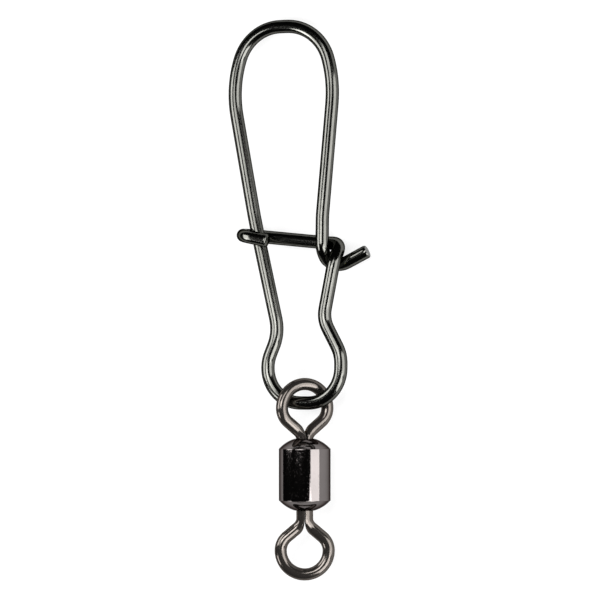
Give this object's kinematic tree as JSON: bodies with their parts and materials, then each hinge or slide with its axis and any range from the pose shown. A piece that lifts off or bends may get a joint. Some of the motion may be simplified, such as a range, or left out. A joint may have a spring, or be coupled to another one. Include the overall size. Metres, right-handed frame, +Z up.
{
  "type": "fishing snap swivel",
  "caption": "Snap swivel lying flat: a hooked snap bent from one spring wire, linked to a rolling swivel with a wire eye at each end of its barrel.",
  "frame": {"origin": "middle of the underside of the bounding box, on the table the object lies on", "axes": "+Y along the object from the swivel to the snap's top loop, +X towards the hook's tag end, +Z up out of the table"},
  "size_m": [0.015, 0.0562, 0.0052],
  "materials": {
    "snap_wire": "black nickel plate, glossy",
    "eye_wire": "black nickel plate, glossy",
    "barrel": "black nickel plate, glossy"
  },
  "bodies": {
    "snap": {"snap_wire": "snap_wire"},
    "swivel_eye": {"upper_eye": "eye_wire"},
    "swivel_barrel": {"barrel": "barrel"},
    "line_eye": {"lower_eye": "eye_wire"}
  },
  "joints": [
    {"name": "side_swing", "type": "hinge", "parent": "snap", "child": "swivel_eye", "pos_m": [0.00105, -0.00671, 0.00249], "axis": [0, 0.0279, 0.9996], "range_deg": [-120, 130]},
    {"name": "barrel_spin", "type": "hinge", "parent": "swivel_eye", "child": "swivel_barrel", "pos_m": [0.00113, -0.01751, 0.00259], "axis": [0, 1, 0], "continuous": true},
    {"name": "line_eye_spin", "type": "hinge", "parent": "swivel_barrel", "child": "line_eye", "pos_m": [0.00113, -0.02109, 0.00259], "axis": [0, 1, 0], "continuous": true}
  ]
}
